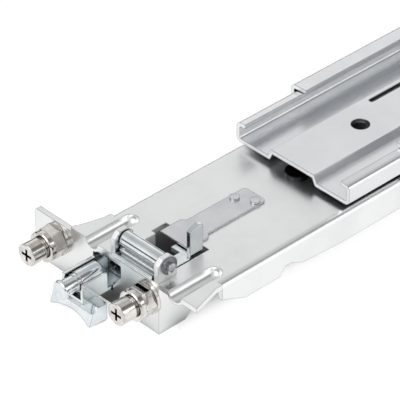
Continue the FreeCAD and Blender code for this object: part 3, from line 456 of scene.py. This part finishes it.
class Finish(Enum):
    """The finishes of the rail, each named for what the surface is."""

    # Zinc-plated cold-rolled sheet: soft grey with faint clouds and marks along the strip.
    ZINC_PLATE = PlatedSteel(
        name="zinc_plated_sheet",
        bright="#F8F9F9",
        dull="#F1F2F2",
        cloud_mm=12.0,
        grain_mm=0.3,
        grain=Grain.ROLLED,
        gloss=(0.29, 0.31),
        relief_mm=0.0005,
        painted_crevice_shade_reach_mm=3.0,
    )
    # Roll-formed channel: the same plating, a little bluer and smoother from the rolls.
    ZINC_CHANNEL = PlatedSteel(
        name="zinc_plated_channel",
        bright="#F0F1F3",
        dull="#E9EBED",
        cloud_mm=14.0,
        grain_mm=0.12,
        grain=Grain.ROLLED,
        gloss=(0.268, 0.272),
        relief_mm=0.0001,
        painted_crevice_shade_reach_mm=1.5,
    )
    # Blue-passivated stamping: bright zinc with a cold cast, tumbled, so without direction.
    BLUE_ZINC = PlatedSteel(
        name="blue_passivated_zinc",
        bright="#F2F6F7",
        dull="#DFE6E9",
        cloud_mm=4.0,
        grain_mm=0.25,
        grain=Grain.TUMBLED,
        gloss=(0.08, 0.14),
        relief_mm=0.001,
    )
    # Nickel-plated turned steel: warm grey with rings left by the turning tool.
    NICKEL = PlatedSteel(
        name="nickel_plated_turned",
        bright="#F0EDE9",
        dull="#D3CEC8",
        cloud_mm=2.5,
        grain_mm=0.15,
        grain=Grain.TURNED,
        gloss=(0.05, 0.10),
        relief_mm=0.0005,
        painted_crevice_shade_reach_mm=4.0,
    )
    # Hardened spring strip: bare steel, a little darker, with marks along the strip.
    SPRING = PlatedSteel(
        name="spring_steel_strip",
        bright="#E0E2E4",
        dull="#D6D8DB",
        cloud_mm=4.0,
        grain_mm=0.12,
        grain=Grain.ROLLED,
        gloss=(0.26, 0.28),
        relief_mm=0.0001,
        painted_crevice_shade_reach_mm=3.0,
    )
    # Tempered spring wire: darker than the strip, grey from the furnace.
    TEMPERED = PlatedSteel(
        name="tempered_spring_wire",
        bright="#9C9EA1",
        dull="#7E8084",
        cloud_mm=1.5,
        grain_mm=0.2,
        grain=Grain.TUMBLED,
        gloss=(0.14, 0.20),
        relief_mm=0.0005,
        painted_crevice_shade_reach_mm=2.0,
    )
    # Cold-headed rivet steel: plain and bright, dull where the punch met it.
    RIVET = PlatedSteel(
        name="rivet_steel",
        bright="#DFE0E2",
        dull="#CBCDD0",
        cloud_mm=1.8,
        grain_mm=0.3,
        grain=Grain.TUMBLED,
        gloss=(0.16, 0.24),
        relief_mm=0.001,
    )
    # Bearing steel: ground and polished, almost a mirror.
    BEARING = PlatedSteel(
        name="bearing_steel",
        bright="#D5D7DA",
        dull="#C7CACE",
        cloud_mm=1.2,
        grain_mm=0.2,
        grain=Grain.TUMBLED,
        gloss=(0.06, 0.10),
        relief_mm=0.001,
    )
    # Headed stop rivet: near black, with a soft shine.
    NEAR_BLACK_RIVET = PlatedSteel(
        name="near_black_rivet_steel",
        bright="#3C3D40",
        dull="#2B2C2F",
        cloud_mm=2.0,
        grain_mm=0.2,
        grain=Grain.TUMBLED,
        gloss=(0.24, 0.34),
    )
    # Moulded nylon: near black, with the fine texture of the mould.
    NYLON = MouldedPlastic(
        name="moulded_nylon", colour="#1C1D1F", paler="#303236", texture_mm=0.25
    )


class Palette:
    """Makes each finish once and puts it on pieces."""

    def __init__(self) -> None:
        """Starts with no material made."""
        self.made: dict[Finish, bpy.types.Material] = {}

    def material(self, finish: Finish) -> bpy.types.Material:
        """Gives the material of a finish.

        Args:
            finish: Finish that is asked for.

        Returns:
            Its material, made on first use.
        """
        if finish not in self.made:
            self.made[finish] = finish.value.build()
        return self.made[finish]

    def dress(self, finish: Finish, *nodes: str) -> None:
        """Puts a finish on nodes that keep the shape they have.

        Args:
            finish: Finish for the nodes.
            nodes: Names of the nodes.
        """
        for name in nodes:
            mesh_object = bpy.data.objects[name]
            for place in mesh_object.material_slots:
                place.material = self.material(finish)
            LOG.info("%s: %s", name, finish.value.name)


class GeometryTree:
    """Builds one node group that makes a repeated or swept shape."""

    def __init__(self, name: str, inputs: dict[str, tuple[str, float]]) -> None:
        """Makes an empty tree with its named inputs.

        Args:
            name: Name of the tree.
            inputs: Socket type and value by the name of each input.
        """
        self.tree = bpy.data.node_groups.new(name, "GeometryNodeTree")
        sockets = self.tree.interface
        sockets.new_socket("Geometry", in_out="OUTPUT", socket_type="NodeSocketGeometry")
        self.values: dict[str, float] = {}
        for title, (kind, value) in inputs.items():
            socket = sockets.new_socket(title, in_out="INPUT", socket_type=kind)
            self.values[socket.identifier] = value
        self.inputs = self.add("NodeGroupInput").outputs

    def add(
        self, kind: str, settings: Settings | None = None, links: Links | None = None
    ) -> bpy.types.Node:
        """Adds a node to this tree.

        Args:
            kind: Type of the node.
            settings: Values by input or property.
            links: Sockets by the input they feed.

        Returns:
            The new node.
        """
        return add_node(self.tree, kind, settings, links)

    def finish(
        self, name: str, shape: bpy.types.NodeSocket, material: bpy.types.Material
    ) -> bpy.types.Object:
        """Closes the tree and turns its result into a plain mesh.

        Args:
            name: Name of the piece.
            shape: Geometry that the tree has made.
            material: Material of the piece.

        Returns:
            The piece, with no modifier left on it.
        """
        real = self.add("GeometryNodeRealizeInstances", {}, {"Geometry": shape})
        coated = self.add(
            "GeometryNodeSetMaterial", {"Material": material}, {"Geometry": real.outputs[0]}
        )
        smooth = self.add("GeometryNodeSetShadeSmooth", {}, {0: coated.outputs[0]})
        self.add("NodeGroupOutput", {}, {"Geometry": smooth.outputs[0]})
        carrier = bpy.data.objects.new(name, bpy.data.meshes.new(name + "_seed"))
        bpy.context.scene.collection.objects.link(carrier)
        modifier = carrier.modifiers.new("shape", "NODES")
        modifier.node_group = self.tree
        for identifier, value in self.values.items():
            modifier[identifier] = value
        evaluated = carrier.evaluated_get(bpy.context.evaluated_depsgraph_get())
        mesh = bpy.data.meshes.new_from_object(evaluated)
        carrier.modifiers.clear()
        carrier.data = mesh
        mesh.name = name
        return carrier


def centre_and_size(node: str) -> tuple[Vector, Vector]:
    """Gives the middle and the extent of a node at rest.

    Args:
        node: Name of the node.

    Returns:
        Centre and size, in metres.
    """
    low, high = (Vector(corner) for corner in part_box(node))
    return (low + high) / 2, high - low


@dataclass
class LatchSpring:
    """Wound spring in the window, on the post behind the latch lever.

    Attributes:
        palette: Finishes.
        wire_mm: Thickness of the wire.
        turns: Number of turns.
        steps_per_turn: Straight steps that make up one turn.
        wire_sides: Sides of the wire's round section.
        replaced: Node that the spring stands for.
    """

    palette: Palette
    wire_mm: float = 0.5
    turns: float = 3.0
    steps_per_turn: int = 28
    wire_sides: int = 12
    replaced: str = "rear_hook_spring"

    def build(self) -> None:
        """Winds the spring along its post and puts it in place of the plain rings."""
        centre, size = centre_and_size(self.replaced)
        wire = self.wire_mm * MM
        sweep = GeometryTree(
            "wound_spring",
            {
                "Turns": ("NodeSocketFloat", self.turns),
                "Coil Radius": ("NodeSocketFloat", size.x / 2 - wire / 2),
                "Coil Length": ("NodeSocketFloat", size.y - wire),
                "Wire Radius": ("NodeSocketFloat", wire / 2),
            },
        )
        helix = sweep.add(
            "GeometryNodeCurveSpiral",
            {"Resolution": self.steps_per_turn},
            {
                "Rotations": sweep.inputs["Turns"],
                "Start Radius": sweep.inputs["Coil Radius"],
                "End Radius": sweep.inputs["Coil Radius"],
                "Height": sweep.inputs["Coil Length"],
            },
        )
        section = sweep.add(
            "GeometryNodeCurvePrimitiveCircle",
            {"Resolution": self.wire_sides},
            {"Radius": sweep.inputs["Wire Radius"]},
        )
        wound = sweep.add(
            "GeometryNodeCurveToMesh",
            {"Fill Caps": True},
            {"Curve": helix.outputs["Curve"], "Profile Curve": section.outputs["Curve"]},
        )
        # The spiral stands up along z, so a quarter turn lays it along the post.
        laid = sweep.add(
            "GeometryNodeTransform",
            {
                "Rotation": (math.radians(90), 0.0, 0.0),
                "Translation": (centre.x, centre.y + size.y / 2 - wire / 2, centre.z),
            },
            {"Geometry": wound.outputs["Mesh"]},
        )
        spring = sweep.finish(
            "latch_spring_wire",
            laid.outputs["Geometry"],
            self.palette.material(Finish.TEMPERED),
        )
        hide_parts(self.replaced)
        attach(spring, "rear_bracket")


@dataclass
class RearEnd:
    """Rear bracket with its studs, latch, leaf spring and rivets."""

    palette: Palette

    def build(self) -> None:
        """Dresses the bracket and everything that it carries."""
        self.palette.dress(Finish.ZINC_PLATE, "rear_bracket")
        self.palette.dress(Finish.NICKEL, "rear_studs", "rear_bushes")
        self.palette.dress(Finish.BLUE_ZINC, "rear_hook", "rear_clamp_screw")
        self.palette.dress(Finish.SPRING, "rear_leaf")
        self.palette.dress(Finish.TEMPERED, "rear_hook_clip")
        self.palette.dress(
            Finish.RIVET, "rear_hook_pin", "rear_spring_post", "rear_leaf_rivets"
        )
        self.palette.dress(Finish.NEAR_BLACK_RIVET, "rear_stop_rivet")
        LatchSpring(self.palette).build()


@dataclass
class BallRows:
    """Two rows of bearing balls in the strips of one race.

    Attributes:
        palette: Finishes.
        replaced: Node that the balls stand for.
        body: Body that the balls move with.
        count: Balls in each row.
        radius_mm: Radius of one ball.
        segments: Faces around one ball.
        rings: Faces from the top of one ball to its bottom.
    """

    palette: Palette
    replaced: str
    body: str
    count: int
    radius_mm: float
    segments: int = 20
    rings: int = 12

    def build(self) -> None:
        """Sets round balls along both rows."""
        centre, size = centre_and_size(self.replaced)
        radius = self.radius_mm * MM
        rows = GeometryTree(
            self.replaced + "_rows",
            {
                "Count": ("NodeSocketInt", self.count),
                "Row Length": ("NodeSocketFloat", size.x - 2 * radius),
                "Row Spread": ("NodeSocketFloat", size.y - 2 * radius),
                "Ball Radius": ("NodeSocketFloat", radius),
            },
        )
        grid = rows.add(
            "GeometryNodeMeshGrid",
            {"Vertices Y": 2},
            {
                "Size X": rows.inputs["Row Length"],
                "Size Y": rows.inputs["Row Spread"],
                "Vertices X": rows.inputs["Count"],
            },
        )
        ball = rows.add(
            "GeometryNodeMeshUVSphere",
            {"Segments": self.segments, "Rings": self.rings},
            {"Radius": rows.inputs["Ball Radius"]},
        )
        spots = rows.add(
            "GeometryNodeInstanceOnPoints",
            {},
            {"Points": grid.outputs["Mesh"], "Instance": ball.outputs["Mesh"]},
        )
        moved = rows.add(
            "GeometryNodeTransform",
            {"Translation": tuple(centre)},
            {"Geometry": spots.outputs["Instances"]},
        )
        balls = rows.finish(
            self.replaced + "_round",
            moved.outputs["Geometry"],
            self.palette.material(Finish.BEARING),
        )
        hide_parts(self.replaced)
        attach(balls, self.body)


@dataclass
class Slide:
    """The three nested channels with their ball race and stops."""

    palette: Palette

    def build(self) -> None:
        """Dresses the channels and sets the bearing balls."""
        self.palette.dress(Finish.ZINC_CHANNEL, "outer_rail", "middle_rail", "inner_rail")
        self.palette.dress(Finish.RIVET, "inner_cage_near", "inner_cage_far")
        self.palette.dress(Finish.RIVET, "guide_rivets", "buffer_rivet", "lever_rivet")
        self.palette.dress(Finish.BLUE_ZINC, "release_lever")
        self.palette.dress(Finish.NYLON, "retract_buffer")
        BallRows(self.palette, "inner_balls", "inner_cage", count=4, radius_mm=1.0).build()


@dataclass
class FrontEnd:
    """Front bracket with its studs and claw."""

    palette: Palette

    def build(self) -> None:
        """Dresses the bracket and everything that it carries."""
        self.palette.dress(Finish.ZINC_PLATE, "front_bracket")
        self.palette.dress(Finish.NICKEL, "front_studs", "front_bushes")
        self.palette.dress(Finish.RIVET, "front_rivets", "front_latch_rivet")
        self.palette.dress(Finish.BLUE_ZINC, "front_latch")


@dataclass
class Lamp:
    """One soft lamp.

    Attributes:
        name: Name of the lamp.
        place: Where it stands, in metres.
        size: Width of its square face, in metres.
        power: Its power, in watts.
        aim: Point that it faces.
    """

    name: str
    place: tuple[float, float, float]
    size: float
    power: float
    aim: tuple[float, float, float] = (0.03, 0.0, 0.0)

    def build(self) -> None:
        """Hangs the lamp and turns it to what it lights."""
        light = bpy.data.lights.new(self.name, "AREA")
        light.size = self.size
        light.energy = self.power
        holder = bpy.data.objects.new(self.name, light)
        holder.location = self.place
        facing = Vector(self.aim) - Vector(self.place)
        holder.rotation_euler = facing.to_track_quat("-Z", "Y").to_euler()
        bpy.context.scene.collection.objects.link(holder)


@dataclass
class Camera:
    """Camera at the photograph's viewpoint.

    Attributes:
        target_mm: Point in the middle of the picture.
        azimuth: Direction of the look, from the rail's length towards its far side, in degrees.
        elevation: Height of the camera above the table, in degrees.
        roll: Turn of the picture, in degrees.
        distance_mm: Distance from the camera to the target.
        focal_px: Focal length in pixels of the picture.
        sight: Nearest and farthest distance that it sees, in metres.
    """

    target_mm: tuple[float, float, float] = (30.37, -1.34, 5.0)
    azimuth: float = 46.63
    elevation: float = 35.85
    roll: float = -0.18
    distance_mm: float = 738.9
    focal_px: float = 3061.6
    sight: tuple[float, float] = (0.01, 20.0)

    def build(self) -> None:
        """Stands the camera up and makes it the one that takes the picture."""
        across, down = math.radians(self.azimuth), math.radians(self.elevation)
        look = Vector(
            (math.cos(across) * math.cos(down), math.sin(across) * math.cos(down), -math.sin(down))
        )
        camera = bpy.data.cameras.new("studio_camera")
        camera.sensor_width = SENSOR_WIDTH_MM
        camera.lens = self.focal_px / PICTURE_WIDTH_PX * SENSOR_WIDTH_MM
        camera.clip_start, camera.clip_end = self.sight
        holder = bpy.data.objects.new("studio_camera", camera)
        upright = look.to_track_quat("-Z", "Y").to_matrix()
        turn = upright @ Matrix.Rotation(math.radians(self.roll), 3, "Z")
        holder.rotation_euler = turn.to_euler()
        holder.location = Vector(self.target_mm) * MM - look * self.distance_mm * MM
        bpy.context.scene.collection.objects.link(holder)
        bpy.context.scene.camera = holder


@dataclass
class Tent:
    """White light tent around the table, with one dark card in it.

    Attributes:
        ambient: Strength of the light that falls on the object from all sides.
        levels: Brightness in reflections by the sine of the height, from the horizon up.
        card_direction: Direction of the dark card that hangs to the right of the camera.
        card_band: Cosine from the card's middle at its outer edge and where it is full.
        card_level: Share of the tent's light that the card lets through.
    """

    ambient: float = 0.55
    levels: tuple[tuple[float, float], ...] = (
        (0.0, 0.02),
        (0.21, 0.05),
        (0.28, 1.0),
        (0.38, 1.0),
        (0.57, 0.85),
        (0.80, 0.50),
        (1.0, 0.72),
    )
    card_direction: tuple[float, float, float] = (0.53, -0.52, 0.67)
    card_band: tuple[float, float] = (0.91, 0.97)
    card_level: float = 0.35

    def build(self) -> None:
        """Fills the surroundings with even light, and with the tent in reflections."""
        world = bpy.data.worlds.new("white_studio")
        world.use_nodes = True
        tree = world.node_tree
        tree.nodes.clear()
        direction = add_node(tree, "ShaderNodeTexCoord").outputs["Generated"]
        facing = add_node(
            tree,
            "ShaderNodeVectorMath",
            {"operation": "DOT_PRODUCT", 1: self.card_direction},
            {0: direction},
        )
        card = remap(tree, facing.outputs["Value"], self.card_band, (1.0, self.card_level))
        lit = add_node(tree, "ShaderNodeBackground", {"Color": WHITE, "Strength": self.ambient})
        shown = add_node(
            tree,
            "ShaderNodeBackground",
            {},
            {"Color": self.cloth(tree, direction), "Strength": card},
        )
        mixed = blend(tree, seen_rays(tree), lit, shown)
        add_node(tree, "ShaderNodeOutputWorld", {}, {"Surface": mixed})
        bpy.context.scene.world = world

    def cloth(
        self, tree: bpy.types.NodeTree, direction: bpy.types.NodeSocket
    ) -> bpy.types.NodeSocket:
        """Gives the tent's cloth its brightness at every height.

        Args:
            tree: Tree that gets the steps.
            direction: Direction of a look.

        Returns:
            Colour that the look meets.
        """
        height = add_node(tree, "ShaderNodeSeparateXYZ", {}, {0: direction})
        cloth = add_node(tree, "ShaderNodeValToRGB", {}, {"Fac": height.outputs["Z"]})
        stops = cloth.color_ramp.elements
        for place, _ in self.levels[1:-1]:
            stops.new(place)
        for stop, (place, level) in zip(list(stops), self.levels):
            stop.position = place
            stop.color = (level, level, level, 1.0)
        return cloth.outputs["Color"]


@dataclass
class Table:
    """White table under the rail, with a painted shadow in its glow and a faint real shadow on its
    matte share.

    Attributes:
        half_width: Half of its width, in metres.
        middle_x: Middle of the table along the rail, in metres.
        colour: Colour that the light falls on.
        glow_share: Share of the look that glows instead of taking the light.
        painted_shade_reach_mm: Reach of the painted soft shadow that the object leaves in the
            table's glow.
        painted_shade_sample_count: Looks per point that measure the painted shadow.
        black_below: Open share below which the painted shadow is black, to the camera and in
            reflections.
        white_above: Open share above which it is white, to the camera and in reflections.
        levels: Brightness of the open table, to the camera and in reflections.
        painted_shadow_strip_middle_mm: Middle of the strip of painted shadow, fixed under and
            behind the rail, along x and y.
        painted_shadow_strip_half_mm: Half extent of that strip.
        painted_shadow_strip_fade_mm: Width over which the painted shadow fades.
    """

    half_width: float = 4.0
    middle_x: float = 0.3
    colour: str = "#F2F2F2"
    glow_share: float = 0.9
    painted_shade_reach_mm: float = 60.0
    painted_shade_sample_count: int = 24
    black_below: tuple[float, float] = (0.04, 0.12)
    white_above: tuple[float, float] = (0.14, 0.36)
    levels: tuple[float, float] = (1.08, 1.0)
    painted_shadow_strip_middle_mm: tuple[float, float] = (360.0, -1.0)
    painted_shadow_strip_half_mm: tuple[float, float] = (345.0, 10.0)
    painted_shadow_strip_fade_mm: float = 12.0

    def build(self) -> None:
        """Lays the table under the lowest point of the rail."""
        low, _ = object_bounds()
        mesh = bpy.data.meshes.new("table_top")
        shape = bmesh.new()
        bmesh.ops.create_grid(shape, x_segments=1, y_segments=1, size=self.half_width)
        bmesh.ops.translate(shape, verts=shape.verts, vec=(self.middle_x, 0.0, low[2]))
        shape.to_mesh(mesh)
        shape.free()
        table = bpy.data.objects.new("table_top", mesh)
        bpy.context.scene.collection.objects.link(table)
        mesh.materials.append(self.material())
        table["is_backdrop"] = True

    def material(self) -> bpy.types.Material:
        """Makes a pale table that looks white apart from the painted shadow in its glow and a
        faint real shadow on its matte share.
        """
        material, tree = empty_material("white_table")
        matte = add_node(tree, "ShaderNodeBsdfDiffuse", {"Color": srgb_to_linear(self.colour)})
        glow = add_node(
            tree, "ShaderNodeEmission", {"Color": WHITE}, {"Strength": self.brightness(tree)}
        )
        share = add_node(
            tree,
            "ShaderNodeMath",
            {"operation": "MULTIPLY", 1: self.glow_share},
            {0: seen_rays(tree)},
        )
        mixed = blend(tree, share.outputs[0], matte, glow)
        add_node(tree, "ShaderNodeOutputMaterial", {}, {"Surface": mixed})
        return material

    def brightness(self, tree: bpy.types.NodeTree) -> bpy.types.NodeSocket:
        """Gives the table's glow, darkened by a painted shadow near and under the object.

        Args:
            tree: Tree that gets the steps.

        Returns:
            Strength of the glow.
        """
        # Ambient occlusion paints a soft shadow into the table's glow, darker in reflections than
        # to the camera.
        painted_shade_occlusion = add_node(
            tree,
            "ShaderNodeAmbientOcclusion",
            {"Distance": self.painted_shade_reach_mm * MM, "samples": self.painted_shade_sample_count},
        )
        mirrored = add_node(tree, "ShaderNodeLightPath").outputs["Is Glossy Ray"]
        black, white, level = (
            remap(tree, mirrored, wanted=pair)
            for pair in (self.black_below, self.white_above, self.levels)
        )
        share_outside_painted_shade = add_node(
            tree,
            "ShaderNodeMapRange",
            {},
            {"Value": painted_shade_occlusion.outputs["AO"], "From Min": black, "From Max": white},
        )
        share_outside_painted_shadows = combine(
            tree, "MULTIPLY", share_outside_painted_shade.outputs["Result"], self.outside_painted_shadow_strip(tree)
        )
        return combine(tree, "MULTIPLY", share_outside_painted_shadows, level)

    def outside_painted_shadow_strip(self, tree: bpy.types.NodeTree) -> bpy.types.NodeSocket:
        """Tells the strip of painted shadow, fixed on the table under and behind the rail, from
        the open table.

        Args:
            tree: Tree that gets the test.

        Returns:
            Zero inside the strip, one outside it.
        """
        # A strip of painted shadow at a fixed place on the table, under and behind the rail, with
        # soft edges.
        middle, half = (
            (along * MM, across * MM, 0.0)
            for along, across in (self.painted_shadow_strip_middle_mm, self.painted_shadow_strip_half_mm)
        )
        place = add_node(tree, "ShaderNodeTexCoord").outputs["Object"]
        vector_steps = (
            {"operation": "SUBTRACT", 1: middle},
            {"operation": "ABSOLUTE"},
            {"operation": "SUBTRACT", 1: half},
        )
        for step in vector_steps:
            place = add_node(tree, "ShaderNodeVectorMath", step, {0: place}).outputs["Vector"]
        beyond = add_node(tree, "ShaderNodeSeparateXYZ", {}, {0: place}).outputs
        edge = add_node(
            tree,
            "ShaderNodeMapRange",
            {"interpolation_type": "SMOOTHSTEP", "From Max": self.painted_shadow_strip_fade_mm * MM},
            {"Value": combine(tree, "MAXIMUM", beyond["X"], beyond["Y"])},
        )
        return edge.outputs["Result"]


@dataclass
class Studio:
    """Camera, white table, light tent and soft lamps.

    Attributes:
        fittings: Everything in the studio besides the rail.
    """

    fittings: list[Camera | Table | Tent | Lamp] = field(
        default_factory=lambda: [
            Camera(),
            Table(),
            Tent(),
            Lamp("key_softbox", place=(-0.70, 0.10, 0.80), size=0.8, power=3.0),
            Lamp("side_softbox", place=(0.55, -0.90, 0.30), size=0.7, power=1.5),
        ]
    )

    def build(self) -> None:
        """Sets up the studio, with colours shown as they are."""
        for fitting in self.fittings:
            fitting.build()
        bpy.context.scene.view_settings.view_transform = "Standard"


def main() -> None:
    """Builds the picture, sub-assembly by sub-assembly."""
    logging.basicConfig(level=logging.INFO, format="%(name)s: %(message)s")
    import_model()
    Studio().build()
    palette = Palette()
    for assembly in (RearEnd(palette), Slide(palette), FrontEnd(palette)):
        assembly.build()
        LOG.info("%s is done", type(assembly).__name__)


if __name__ == "__main__":
    main()
